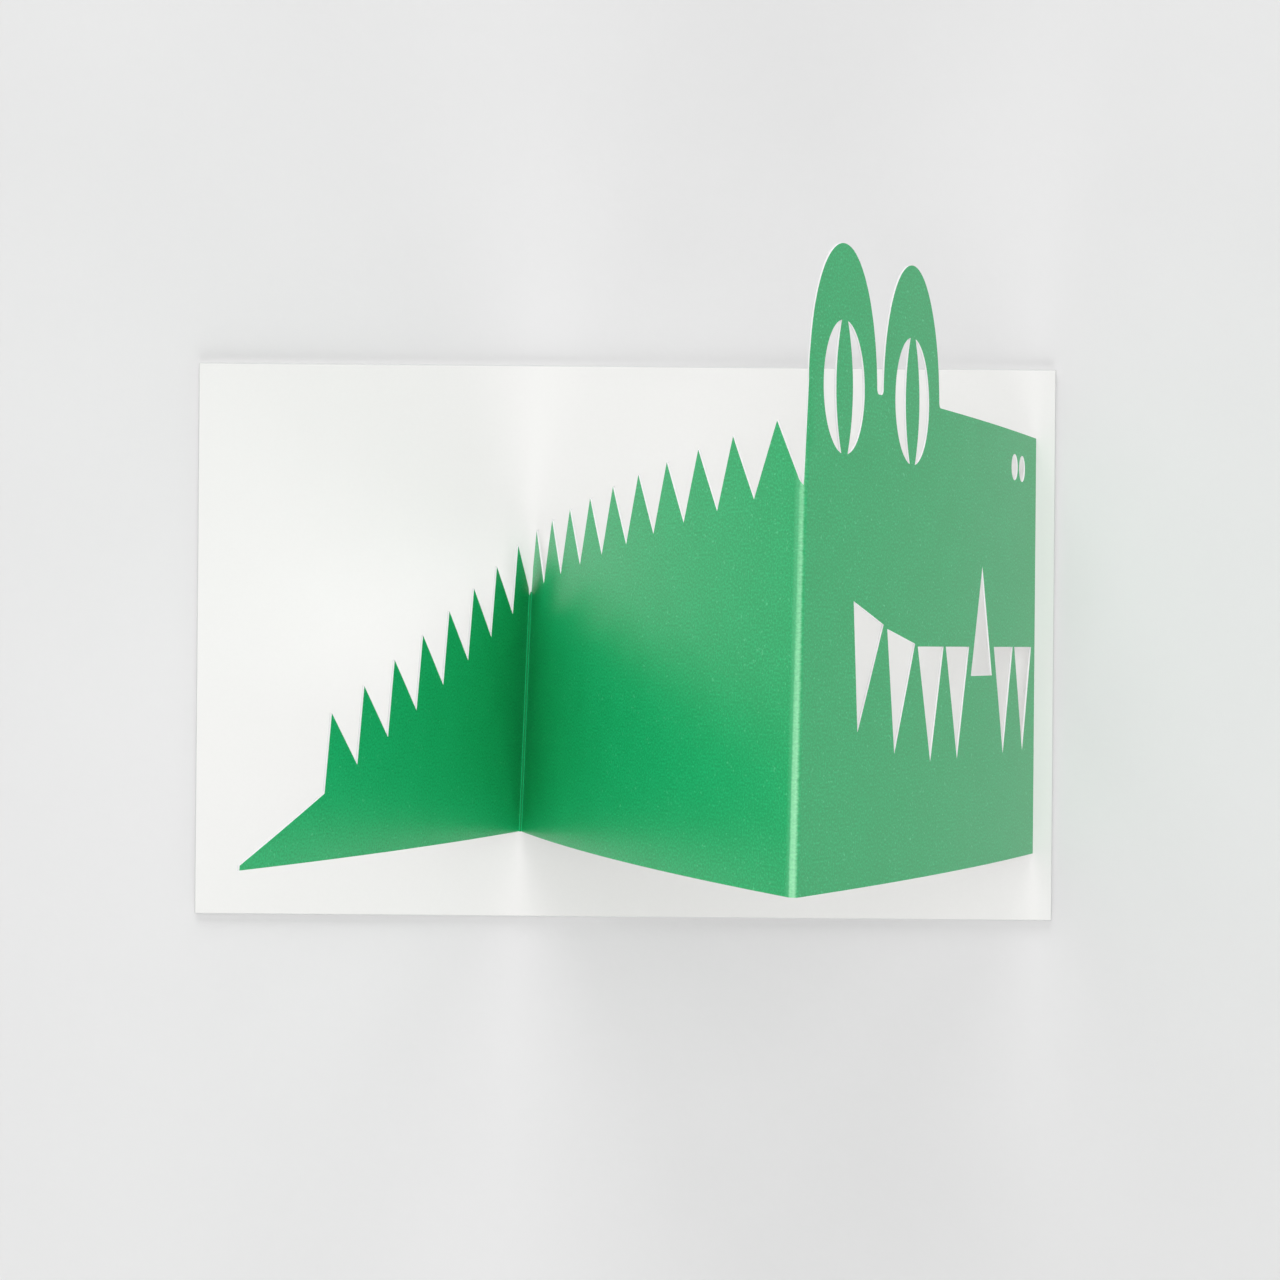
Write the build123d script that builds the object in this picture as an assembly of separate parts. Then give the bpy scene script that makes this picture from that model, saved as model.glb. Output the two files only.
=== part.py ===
from build123d import *
import os

# A greeting card: a crocodile die-cut from one strip of printed card and folded in a zigzag, which stands on
# a flat backing card. Millimetres. The backing card lies on its back, X runs across it, Y up it, and Z away
# from it towards the reader. The origin is the middle of its underside.

# Backing card: a flat sheet of white board
backing_width = 178.0
backing_height = 114.4
backing_thickness = 1.5
backing_edge_round = 0.25

# Strip of card that the crocodile is cut from, and the radii inside its two folds
sheet_thickness = 0.4
mountain_fold_radius = 0.5
valley_fold_radius = 0.35

# Zigzag, seen along its folds. Distances run left from the nose edge, heights run up from the backing's face.
# A bulge is how far the middle of a panel bows out towards the reader
nose_margin = 4.4
nose_to_mountain = 55.9
nose_to_valley = 106.15
nose_to_tail_tip = 148.4
mountain_fold_height = 113.6
tail_tip_height = 110.8
head_bulge = 2.35
body_bulge = 4.5
tail_bulge = 2.0

# The folds aren't quite parallel: they fan out from a point this far above the nose's foot
fan_length = 3125.0

# How far the strip's foot stands above the backing's lower edge at each fold and end
nose_foot_margin = 13.9
mountain_foot_margin = 15.15
valley_foot_margin = 17.6
tail_foot_margin = 18.65

# Back of the tail and body: the strip's height at each fold, and two rows of spikes, with a short level notch
# on each side of the valley fold. The tail's spikes lean towards the body. The body's last spike is a broad one,
# which ends on the mountain fold and leans towards it
valley_back_height = 49.7
mountain_back_height = 68.5
tail_spikes = 8
even_body_spikes = 9
tail_spike_height = 12.55
tail_spike_lean = 0.43
body_spike_height = 12.15
broad_spike_width = 14.25
broad_spike_lean = 0.77
valley_notch_width = 1.5
spiked_tail_share = 0.776
tail_tip_width = 0.9

# Head, in its own plane: places run back from the nose edge, levels run up from the nose's foot.
# The back brow stands just before the mountain fold
nose_level = 86.2
brow_level = 87.15
brow_width = 27.3
brow_rise = 24.6
brow_fold_margin = 1.15
brow_spacing = 30.0
brow_corner_radius = 0.9

# Eyes, one in the middle of each brow, slit by an upright pupil
eye_width = 16.35
eye_height = 22.95
pupil_width = 6.75
pupil_end_width = 2.5

# Nostrils
nostril_width = 4.6
nostril_height = 5.2
nostril_level = 79.15
front_nostril_place = 11.65
nostril_spacing = 5.75

# Teeth, numbered from the nose. The last ones follow the rising corner of the mouth, and one points up
tooth_width = 13.4
tooth_length = 21.0
front_tooth_place = 9.85
tooth_spacing = 14.75
mouth_level = 42.85
level_teeth = 5
upturned_tooth = 2
upturned_tooth_level = 37.35
mouth_corner_rises = (1.8, 5.8)
mouth_corner_angles = (11.1, 16.9)
tooth_lean_share = 0.74

# How far a cutting outline runs on past a fold, and the uncut strip past the outlines
overrun = 2.0

outer_fold_radius = valley_fold_radius + sheet_thickness
nose_x = backing_width / 2 - nose_margin
lower_edge_y = -backing_height / 2
nose_foot_y = lower_edge_y + nose_foot_margin
nose_corner = Vector(0, 0)
mountain_corner = Vector(-nose_to_mountain, mountain_fold_height)
tail_corner = Vector(-nose_to_tail_tip, tail_tip_height)


def bowed(low, high, bulge):
    """Line of a panel's underside, from its low edge to its high edge, bowed out towards the reader."""
    chord = high - low
    across = Vector(-chord.Y, chord.X).normalized()
    if across.Y < 0:
        across = -across
    return ThreePointArc(low, (low + high) / 2 + across * bulge, high)


def folded_line(valley_corner):
    """Underside of the whole zigzag as one line, from nose to tail tip, with its two folds rounded."""
    line = Wire(
        [
            bowed(nose_corner, mountain_corner, head_bulge),
            bowed(valley_corner, mountain_corner, body_bulge),
            bowed(valley_corner, tail_corner, tail_bulge),
        ]
    )
    line = line.fillet_2d(mountain_fold_radius, [Vertex(*mountain_corner)])
    return line.fillet_2d(outer_fold_radius, [Vertex(*valley_corner)])


def resting_valley():
    """Corner where body and tail would meet unrounded, set so that their rounded fold rests on the backing."""
    corner = Vector(-nose_to_valley, 0)
    for refinement in range(4):
        rounds = folded_line(corner).edges().sort_by(SortBy.LENGTH)[:2]
        valley_round = rounds.sort_by(Axis.Y)[0]
        corner = corner - Vector(0, valley_round.bounding_box().min.Y)
    return corner


def section_plane(y):
    """Plane across the folds at height y up the backing, with its origin where the nose edge touches it."""
    return Plane(origin=(nose_x, y, backing_thickness), x_dir=(1, 0, 0), z_dir=(0, -1, 0))


def fan_share(y):
    """Size of the zigzag at height y up the backing, as a share of its size at the nose's foot."""
    return 1 - (y - nose_foot_y) / fan_length


def on_fold(corner, foot_margin, height):
    """Point on the fold or end through corner, at a height above its own foot."""
    y = lower_edge_y + foot_margin + height
    return section_plane(y).from_local_coords(corner * fan_share(y))


def panel_plane(low_corner, high_corner, low_foot, low_top):
    """Plane of a panel, with its origin at the foot of its low edge and X towards its high edge."""
    low_corner_in_space = section_plane(nose_foot_y).from_local_coords(low_corner)
    high_corner_in_space = section_plane(nose_foot_y).from_local_coords(high_corner)
    across = high_corner_in_space - low_corner_in_space
    return Plane(origin=low_foot, x_dir=across, z_dir=across.cross(low_top - low_foot))


def spikes(start, end, count, height, lean):
    """Points of a row of spikes after start and up to end, which lean back towards the start."""
    step = (end - start) / count
    way = step.normalized()
    tip = step / 2 - way * lean + Vector(-way.Y, way.X) * height
    points = []
    for number in range(count):
        points.append(start + step * number + tip)
        points.append(start + step * (number + 1))
    return points


def tail_back(low_top, high_top):
    """Points of the tail's spiked back, from the valley fold to where its plain tip begins."""
    way = high_top - low_top
    notch_edge = low_top + way.normalized() * valley_notch_width
    end = low_top + way * spiked_tail_share
    return [low_top, notch_edge] + spikes(low_top, end, tail_spikes, tail_spike_height, tail_spike_lean)


def body_back(low_top, high_top):
    """Points of the body's spiked back, from the valley fold to the tip beside the mountain fold."""
    way = (high_top - low_top).normalized()
    notch_edge = low_top + way * valley_notch_width
    broad_start = high_top - way * broad_spike_width
    even_row = spikes(low_top, broad_start, even_body_spikes, body_spike_height, 0)
    broad_tip = spikes(broad_start, high_top, 1, body_spike_height, -broad_spike_lean)[0]
    return [low_top, notch_edge] + even_row + [broad_tip]


def back_panel_outline(low_foot, low_top, high_foot, high_top, back):
    """Outline of the tail or the body, which have a plain foot and a spiked back."""
    points = [
        low_foot - Vector(overrun, 0),
        low_foot,
        high_foot,
        high_foot + Vector(overrun, 0),
        high_top + Vector(overrun, 0),
        high_top,
    ]
    points += reversed(back(low_top, high_top))
    points.append(low_top - Vector(overrun, 0))
    return make_face(Polyline(*points, close=True))


def eye():
    """Eye hole: an upright ellipse, with a slit pupil that bridges it from top to bottom."""
    half_height = eye_height / 2
    half_end = pupil_end_width / 2
    right_side = ThreePointArc((half_end, -half_height), (pupil_width / 2, 0), (half_end, half_height))
    left_side = mirror(right_side, about=Plane.YZ)
    lower_end = Line((half_end, -half_height), (-half_end, -half_height))
    upper_end = mirror(lower_end, about=Plane.XZ)
    pupil = make_face([right_side, left_side, lower_end, upper_end])
    return Ellipse(eye_width / 2, half_height) - pupil


def tooth(angle, length):
    """Pointed slit with the middle of its base at the origin, its base turned and its point leaning after it."""
    half_base = Vector(tooth_width / 2, 0).rotate(Axis.Z, angle)
    point = Vector(0, -length).rotate(Axis.Z, angle * tooth_lean_share)
    return make_face(Polyline(half_base, -half_base, point, close=True))


def teeth():
    """Row of slits along the mouth."""
    slits = []
    for number in range(level_teeth):
        place = front_tooth_place + number * tooth_spacing
        if number == upturned_tooth:
            slits.append(Pos(place, upturned_tooth_level) * tooth(0, -tooth_length))
        else:
            slits.append(Pos(place, mouth_level) * tooth(0, tooth_length))
    for number, (rise, angle) in enumerate(zip(mouth_corner_rises, mouth_corner_angles)):
        place = front_tooth_place + (level_teeth + number) * tooth_spacing
        slits.append(Pos(place, mouth_level + rise) * tooth(angle, tooth_length))
    return slits


def head_outline(back_foot, back_top):
    """Outline of the head with its two brows, eyes, nostrils and teeth, cut from a plain long snout."""
    back_brow_place = back_top.X - brow_fold_margin - brow_width / 2
    front_brow_place = back_brow_place - brow_spacing
    snout = Polyline(
        (-overrun, 0),
        (0, 0),
        (back_foot.X, back_foot.Y),
        (back_foot.X + overrun, back_foot.Y),
        (back_foot.X + overrun, back_top.Y),
        (back_top.X, back_top.Y),
        (back_brow_place + brow_width / 2, brow_level),
        (front_brow_place - brow_width / 2, brow_level),
        (0, nose_level),
        (-overrun, nose_level),
        close=True,
    )
    brow_places = (front_brow_place, back_brow_place)
    outline = make_face(snout)
    for place in brow_places:
        outline += Pos(place, brow_level) * Ellipse(brow_width / 2, brow_rise)
    inner_corners = [
        front_brow_place - brow_width / 2,
        front_brow_place + brow_width / 2,
        back_brow_place - brow_width / 2,
    ]
    for place in inner_corners:
        corner = outline.vertices().sort_by_distance((place, brow_level))[0]
        outline = fillet(corner, brow_corner_radius)
    for place in brow_places:
        outline -= Pos(place, brow_level) * eye()
    for number in range(2):
        place = front_nostril_place + number * nostril_spacing
        outline -= Pos(place, nostril_level) * Ellipse(nostril_width / 2, nostril_height / 2)
    for slit in teeth():
        outline -= slit
    return outline


def upright_plane(foot, top):
    """Plane through a fold that stands square on the backing, to part the panels on its two sides."""
    way = top - foot
    return Plane(origin=foot, x_dir=way, z_dir=Vector(0, 0, 1).cross(way))


def folded_strip():
    """The uncut strip, folded: one section, carried up the card and drawn in towards the fan's far point."""
    line = folded_line(valley_corner)
    section = Face(line.offset_2d(sheet_thickness, side=Side.RIGHT, closed=True))
    low_y = nose_foot_y - overrun
    high_y = nose_foot_y + brow_level + brow_rise + overrun
    ends = [section_plane(y) * scale(section, by=fan_share(y)) for y in (low_y, high_y)]
    return loft(ends, ruled=True)


def crocodile():
    """The crocodile: the folded strip, die-cut panel by panel."""
    nose_foot = on_fold(nose_corner, nose_foot_margin, 0)
    nose_top = on_fold(nose_corner, nose_foot_margin, nose_level)
    mountain_foot = on_fold(mountain_corner, mountain_foot_margin, 0)
    mountain_top = on_fold(mountain_corner, mountain_foot_margin, mountain_back_height)
    valley_foot = on_fold(valley_corner, valley_foot_margin, 0)
    valley_top = on_fold(valley_corner, valley_foot_margin, valley_back_height)
    tail_foot = on_fold(tail_corner, tail_foot_margin, 0)
    tail_top = on_fold(tail_corner, tail_foot_margin, tail_tip_width)

    tail_plane = panel_plane(valley_corner, tail_corner, valley_foot, valley_top)
    body_plane = panel_plane(valley_corner, mountain_corner, valley_foot, valley_top)
    head_plane = panel_plane(nose_corner, mountain_corner, nose_foot, nose_top)

    tail_ends = (valley_foot, valley_top, tail_foot, tail_top)
    body_ends = (valley_foot, valley_top, mountain_foot, mountain_top)
    tail_points = [tail_plane.to_local_coords(point) for point in tail_ends]
    body_points = [body_plane.to_local_coords(point) for point in body_ends]
    head_points = [head_plane.to_local_coords(point) for point in (mountain_foot, mountain_top)]
    outlines = [
        tail_plane * back_panel_outline(*tail_points, tail_back),
        body_plane * back_panel_outline(*body_points, body_back),
        head_plane * head_outline(*head_points),
    ]

    strip = split(folded_strip(), upright_plane(valley_foot, valley_top), keep=Keep.BOTH)
    strip = split(strip, upright_plane(mountain_foot, mountain_top), keep=Keep.BOTH)
    reach = 2 * max(head_bulge, body_bulge, tail_bulge) + outer_fold_radius
    panels = []
    for blank, outline in zip(strip.solids().sort_by(Axis.X), outlines):
        panels.append(blank & extrude(outline, reach, both=True))
    return panels[0] + panels[1] + panels[2]


def backing_card():
    """The flat card underneath, with the slightly rounded edges of cut board."""
    board = Pos(0, 0, backing_thickness / 2) * Box(backing_width, backing_height, backing_thickness)
    level_edges = board.edges().group_by(Axis.Z)
    return fillet(level_edges[0] + level_edges[-1], backing_edge_round)


valley_corner = resting_valley()

nodes = {
    "backing_card": backing_card(),
    "crocodile": crocodile(),
}

os.makedirs("parts", exist_ok=True)
for name, shape in nodes.items():
    export_step(shape, f"parts/{name}.step")
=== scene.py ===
"""A folded card crocodile on its white backing card, lying on a pale studio floor.

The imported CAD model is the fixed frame. The crocodile is rebuilt here as a finely meshed sheet with a printed
face, a bare back and bare cut edges, and the backing card keeps its CAD shape and gets a board finish.
Sizes are in millimetres, as in the part's source, and turn into metres where a mesh is made.
"""

import logging
import math
from dataclasses import dataclass, field
from enum import Enum

import bmesh
import bpy
import numpy as np
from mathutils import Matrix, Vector, geometry


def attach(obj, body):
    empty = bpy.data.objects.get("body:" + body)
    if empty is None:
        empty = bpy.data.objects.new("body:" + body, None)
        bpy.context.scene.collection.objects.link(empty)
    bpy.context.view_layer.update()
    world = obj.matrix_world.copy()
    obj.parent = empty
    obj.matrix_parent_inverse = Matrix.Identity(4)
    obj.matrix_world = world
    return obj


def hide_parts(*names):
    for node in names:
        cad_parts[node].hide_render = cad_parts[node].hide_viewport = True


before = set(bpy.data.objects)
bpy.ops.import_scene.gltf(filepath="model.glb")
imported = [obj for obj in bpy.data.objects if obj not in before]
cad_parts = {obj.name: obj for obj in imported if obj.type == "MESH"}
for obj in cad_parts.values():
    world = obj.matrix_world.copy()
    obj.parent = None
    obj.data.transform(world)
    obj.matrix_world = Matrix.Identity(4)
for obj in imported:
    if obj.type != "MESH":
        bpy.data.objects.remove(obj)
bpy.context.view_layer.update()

log = logging.getLogger("card")

MM = 0.001

# What a vertex of the strip carries: its distance along the strip and its height, in metres, and its depth
# in the card, from 0 at the back to 1 at the print.
PLACE = "strip_place"

# Longest steps between the points of an outline, and how near two points count as one, in millimetres.
OUTLINE_STEP = 0.8
TOOTH_STEP = 0.5
SAME_PLACE = 0.02

# How far inside an arc's ends a place on it is taken, and how near a point is on a column already.
ON_ARC = 1e-9
ON_COLUMN = 1e-6

Colour = tuple[float, float, float, float]


class Panel(Enum):
    """The three panels of the folded strip."""

    HEAD = "head"
    BODY = "body"
    TAIL = "tail"


class Surface(Enum):
    """What covers a face of the strip. The value is the face's material index."""

    PRINT = 0
    BACK = 1
    CUT = 2


class Value:
    """A number on a node socket, which Python arithmetic turns into Math nodes."""

    def __init__(self, shader: "Shader", socket: bpy.types.NodeSocket) -> None:
        """Wraps a socket.

        Args:
            shader: The node tree that the socket belongs to.
            socket: An output that gives one number.
        """
        self.shader = shader
        self.socket = socket

    def _math(self, operation: str, *terms: "Value | float", clamp: bool = False) -> "Value":
        """Adds one Math node.

        Args:
            operation: The node's operation.
            terms: Its inputs, in order.
            clamp: Whether the result is kept from 0 to 1.

        Returns:
            The node's result.
        """
        node = self.shader.add(
            "ShaderNodeMath", {"operation": operation, "use_clamp": clamp}, dict(enumerate(terms))
        )
        return Value(self.shader, node.outputs[0])

    def __add__(self, other: "Value | float") -> "Value":
        """self + other."""
        return self._math("ADD", self, other)

    __radd__ = __add__

    def __sub__(self, other: "Value | float") -> "Value":
        """self - other."""
        return self._math("SUBTRACT", self, other)

    def __rsub__(self, other: float) -> "Value":
        """other - self."""
        return self._math("SUBTRACT", other, self)

    def __mul__(self, other: "Value | float") -> "Value":
        """self * other."""
        return self._math("MULTIPLY", self, other)

    __rmul__ = __mul__

    def __truediv__(self, other: "Value | float") -> "Value":
        """self / other."""
        return self._math("DIVIDE", self, other)

    def __abs__(self) -> "Value":
        """abs(self)."""
        return self._math("ABSOLUTE", self)

    def least(self, other: "Value | float") -> "Value":
        """The smaller of self and other."""
        return self._math("MINIMUM", self, other)

    def most(self, other: "Value | float") -> "Value":
        """The larger of self and other."""
        return self._math("MAXIMUM", self, other)

    def rise(self, low: "Value | float", high: "Value | float") -> "Value":
        """A smooth step of self.

        Args:
            low: Where the step begins.
            high: Where it ends. It may be below low, and then the step falls.

        Returns:
            0 at low and 1 at high.
        """
        node = self.shader.add(
            "ShaderNodeMapRange",
            {"interpolation_type": "SMOOTHSTEP", "clamp": True},
            {"Value": self, "From Min": low, "From Max": high},
        )
        return Value(self.shader, node.outputs["Result"])


class Shader:
    """A material or world under construction."""

    def __init__(self, tree: bpy.types.NodeTree) -> None:
        """Starts from an empty node tree.

        Args:
            tree: The tree to build in.
        """
        self.tree = tree
        tree.nodes.clear()

    def add(self, kind: str, settings: dict | None = None, inputs: dict | None = None) -> bpy.types.Node:
        """Adds a node of any type.

        Args:
            kind: The node's type.
            settings: Its properties, set first. "stops" are a ramp's (position, colour) pairs.
            inputs: Values or links of its sockets, by name or number.

        Returns:
            The node.
        """
        node = self.tree.nodes.new(kind)
        for name, setting in (settings or {}).items():
            if name == "stops":
                self._set_stops(node.color_ramp, setting)
            else:
                setattr(node, name, setting)
        for name, source in (inputs or {}).items():
            if isinstance(source, Value):
                source = source.socket
            if isinstance(source, bpy.types.NodeSocket):
                self.tree.links.new(source, node.inputs[name])
            else:
                node.inputs[name].default_value = source
        return node

    @staticmethod
    def _set_stops(ramp: bpy.types.ColorRamp, stops: list) -> None:
        """Sets a ramp's stops.

        Args:
            ramp: The ramp.
            stops: Its (position, colour) pairs, from left to right.
        """
        while len(ramp.elements) < len(stops):
            ramp.elements.new(1.0)
        for element, (position, colour) in zip(ramp.elements, stops):
            element.position = position
            element.color = colour

    def object_place(self) -> bpy.types.NodeSocket:
        """Places on the object, in metres."""
        return self.add("ShaderNodeTexCoord").outputs["Object"]

    def strip_place(self) -> bpy.types.NodeSocket:
        """Places on the strip, which its vertices carry."""
        return self.add("ShaderNodeAttribute", {"attribute_name": PLACE}).outputs["Vector"]

    def parts(self, vector: bpy.types.NodeSocket) -> list[Value]:
        """The three numbers of a vector."""
        node = self.add("ShaderNodeSeparateXYZ", None, {"Vector": vector})
        return [Value(self, output) for output in node.outputs]

    def noise(
        self, place: bpy.types.NodeSocket, size: float, detail: float = 2.0, roughness: float = 0.5
    ) -> Value:
        """Soft noise round zero.

        Args:
            place: The coordinates, in metres.
            size: How far apart its clouds are, in millimetres.
            detail: How many finer octaves it has.
            roughness: How strong those are.

        Returns:
            The noise, mostly from -0.2 to 0.2.
        """
        node = self.add(
            "ShaderNodeTexNoise",
            {"noise_dimensions": "3D"},
            {"Vector": place, "Scale": 1 / (size * MM), "Detail": detail, "Roughness": roughness},
        )
        return Value(self, node.outputs["Fac"]) - 0.5

    def mix(self, share: Value | float, first: object, second: object) -> bpy.types.NodeSocket:
        """Mixes two colours.

        Args:
            share: How much of the second there is, from 0 to 1.
            first: A colour or a link to one.
            second: A colour or a link to one.

        Returns:
            The mixed colour.
        """
        node = self.add(
            "ShaderNodeMix", {"data_type": "RGBA", "clamp_factor": True}, {0: share, 6: first, 7: second}
        )
        return node.outputs[2]

    def principled(self, inputs: dict) -> None:
        """Ends a material with a Principled BSDF.

        Args:
            inputs: Values or links of its sockets.
        """
        surface = self.add("ShaderNodeBsdfPrincipled", None, inputs)
        self.add("ShaderNodeOutputMaterial", None, {"Surface": surface.outputs[0]})

    def bump(self, height: Value, depth: float) -> bpy.types.NodeSocket:
        """Relief on the surface.

        Args:
            height: The relief, as a share of its depth.
            depth: Its depth in millimetres.

        Returns:
            The normal.
        """
        node = self.add("ShaderNodeBump", None, {"Strength": 1.0, "Distance": depth * MM, "Height": height})
        return node.outputs["Normal"]


def new_shader(name: str) -> tuple[bpy.types.Material, Shader]:
    """Makes an empty node material.

    Args:
        name: The material's name.

    Returns:
        The material and its shader.
    """
    material = bpy.data.materials.new(name)
    material.use_nodes = True
    return material, Shader(material.node_tree)


def grey(level: float, warmth: float = 0.0) -> Colour:
    """A neutral colour of one linear level, with a share of its blue left out for warmth."""
    return (level, level, level * (1 - warmth), 1.0)


@dataclass(frozen=True)
class GreenPrint:
    """Green ink on the face of the card, worn pale along the mountain fold, with painted light that lightens it
    towards the tail, painted shade in the valley crease and painted highlights along the crease's two ridges.

    Places are distances along the strip or heights up the card, in millimetres, as are all sizes and
    widths. Contrasts say how strongly a noise changes the tone, and shares how much of an ink is mixed in.
    """

    ink: Colour = (0.004, 0.345, 0.103, 1.0)
    light_ink: Colour = (0.015, 0.510, 0.182, 1.0)
    thin_ink: Colour = (0.110, 0.610, 0.290, 1.0)
    rubbed_ink: Colour = (0.12, 0.55, 0.26, 1.0)
    worn_ink: Colour = (0.34, 0.82, 0.46, 1.0)
    crease_shade_ink: Colour = (0.0, 0.20, 0.05, 1.0)
    ridge_highlight_ink: Colour = (0.02, 0.85, 0.36, 1.0)
    mountain_at: float = 0.0
    valley_at: float = 0.0
    ridge_at: float = 0.0
    foot_y: float = 0.0
    top_y: float = 0.0
    mottle_size: float = 0.4
    mottle_contrast: float = 4.5
    cloud_size: float = 9.0
    cloud_contrast: float = 0.4
    painted_light_from: float = 60.0
    painted_light_to: float = 310.0
    painted_light_contrast: float = 0.55
    middle_tone: float = 0.17
    speck_size: float = 0.7
    speck_levels: tuple[float, float] = (0.18, 0.28)
    speck_share: float = 0.6
    ragged_size: float = 0.6
    ragged_width: float = 1.2
    rubbed_off_fold: float = 0.5
    rubbed_widths: tuple[float, float] = (1.4, 0.1)
    rubbed_share: float = 0.45
    worn_off_fold: float = 0.13
    worn_half_widths: tuple[float, float] = (0.42, 0.02)
    worn_foot_growth: float = 0.14
    worn_raggedness: float = 0.25
    worn_share: float = 0.52
    worn_foot_share: float = 0.25
    worn_mottling: float = 0.8
    crease_half_widths: tuple[float, float] = (0.75, 0.4)
    crease_shade_share: float = 0.6
    ridge_half_widths: tuple[float, float] = (0.24, 0.08)
    ridge_raggedness: float = 0.05
    ridge_highlight_share: float = 0.8
    grain_size: float = 0.3
    grain_relief: float = 0.012
    roughness: float = 0.35
    grain_roughness: float = 0.2
    crease_roughness: float = 0.6
    refraction: float = 1.5

    def material(self) -> bpy.types.Material:
        """The material, whose wear follows the strip's own places."""
        material, shader = new_shader("green_print")
        place = shader.strip_place()
        x, y, _ = shader.parts(place)
        along, height = x * (1 / MM), y * (1 / MM)
        mottle = shader.noise(place, self.mottle_size, 2.0, 0.7)
        ragged = shader.noise(place, self.ragged_size, 3.0, 0.7) * self.ragged_width
        from_valley = abs(along - self.valley_at)
        crease = from_valley.rise(*self.crease_half_widths)
        colour = self._inked(shader, place, along, mottle)
        colour = self._worn(shader, colour, along, height, mottle, ragged)
        # Painted shade: the valley crease is darkened here, and the same band is made rougher below.
        colour = shader.mix(crease * self.crease_shade_share, colour, self.crease_shade_ink)
        # Painted highlights: the score's two ridges beside the valley fold are made bright green.
        from_ridge = abs(from_valley - self.ridge_at + ragged * self.ridge_raggedness)
        ridge_highlight = from_ridge.rise(*self.ridge_half_widths)
        colour = shader.mix(ridge_highlight * self.ridge_highlight_share, colour, self.ridge_highlight_ink)
        grain = shader.noise(place, self.grain_size, 3.0, 0.6)
        shader.principled(
            {
                "Base Color": colour,
                "Roughness": grain * self.grain_roughness + crease * self.crease_roughness + self.roughness,
                "Normal": shader.bump(grain, self.grain_relief),
                "IOR": self.refraction,
            }
        )
        return material

    def _inked(
        self, shader: Shader, place: bpy.types.NodeSocket, along: Value, mottle: Value
    ) -> bpy.types.NodeSocket:
        """Unworn ink: mottled, with painted light that makes it lighter towards the tail.

        Args:
            shader: The shader.
            place: Places on the strip.
            along: Distance along the strip.
            mottle: The fine mottling.

        Returns:
            The colour.
        """
        cloud = shader.noise(place, self.cloud_size)
        # Painted light: the tone rises towards the tail, which lightens the ink there.
        painted_light = along.rise(self.painted_light_from, self.painted_light_to)
        tone = mottle * self.mottle_contrast + cloud * self.cloud_contrast + painted_light * self.painted_light_contrast
        colour = shader.mix(tone + self.middle_tone, self.ink, self.light_ink)
        speck = shader.noise(place, self.speck_size, 1.0).rise(*self.speck_levels)
        return shader.mix(speck * self.speck_share, colour, self.thin_ink)

    def _worn(
        self,
        shader: Shader,
        colour: bpy.types.NodeSocket,
        along: Value,
        height: Value,
        mottle: Value,
        ragged: Value,
    ) -> bpy.types.NodeSocket:
        """Ink with the mountain fold's wear: a wide rubbed band and a narrow pale one, wider at the foot.

        Args:
            shader: The shader.
            colour: The unworn ink.
            along: Distance along the strip.
            height: Height up the card.
            mottle: The fine mottling.
            ragged: How far the bands' edges stray.

        Returns:
            The colour.
        """
        down = height.rise(self.top_y, self.foot_y)
        from_fold = along - self.mountain_at
        rubbed = abs(from_fold - self.rubbed_off_fold + ragged).rise(*self.rubbed_widths)
        colour = shader.mix(rubbed * self.rubbed_share, colour, self.rubbed_ink)
        growth = down * self.worn_foot_growth
        outer, inner = self.worn_half_widths
        from_band = abs(from_fold - self.worn_off_fold + ragged * self.worn_raggedness)
        worn = from_band.rise(growth + outer, growth + inner)
        patchy = mottle * self.worn_mottling + down * self.worn_foot_share + self.worn_share
        return shader.mix(worn * patchy, colour, self.worn_ink)


@dataclass(frozen=True)
class BareCard:
    """Uncoated white card: the strip's back and its cut edges. Sizes and relief are in millimetres."""

    name: str
    white: float = 0.86
    fleck: float = 0.8
    warmth: float = 0.0
    fibre_size: float = 0.5
    fibre_contrast: float = 1.4
    cloud_size: float = 8.0
    cloud_contrast: float = 0.5
    middle_tone: float = 0.4
    relief: float = 0.015
    roughness: float = 0.8
    fibre_roughness: float = 0.15
    refraction: float = 1.45

    def material(self) -> bpy.types.Material:
        """The material, with soft fibres."""
        material, shader = new_shader(self.name)
        place = shader.object_place()
        fibre = shader.noise(place, self.fibre_size, 3.0, 0.65)
        cloud = shader.noise(place, self.cloud_size)
        tone = fibre * self.fibre_contrast + cloud * self.cloud_contrast + self.middle_tone
        colour = shader.mix(tone, grey(self.white, self.warmth), grey(self.fleck, self.warmth))
        shader.principled(
            {
                "Base Color": self._marked(shader, colour),
                "Roughness": fibre * self.fibre_roughness + self.roughness,
                "Normal": shader.bump(fibre, self.relief),
                "IOR": self.refraction,
            }
        )
        return material

    def _marked(self, shader: Shader, colour: bpy.types.NodeSocket) -> bpy.types.NodeSocket:
        """The colour with what else marks this card: nothing here."""
        return colour


@dataclass(frozen=True)
class CutEdge(BareCard):
    """The strip's die-cut edge, greyer in a faint line along the back."""

    back_line_grey: float = 0.5
    back_line_share: float = 0.5
    line_depths: tuple[float, float] = (0.4, 0.1)

    def _marked(self, shader: Shader, colour: bpy.types.NodeSocket) -> bpy.types.NodeSocket:
        """The colour, greyer in a thin line along the edge's back."""
        _, _, depth = shader.parts(shader.strip_place())
        line = depth.rise(*self.line_depths)
        return shader.mix(line * self.back_line_share, colour, grey(self.back_line_grey))


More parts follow.
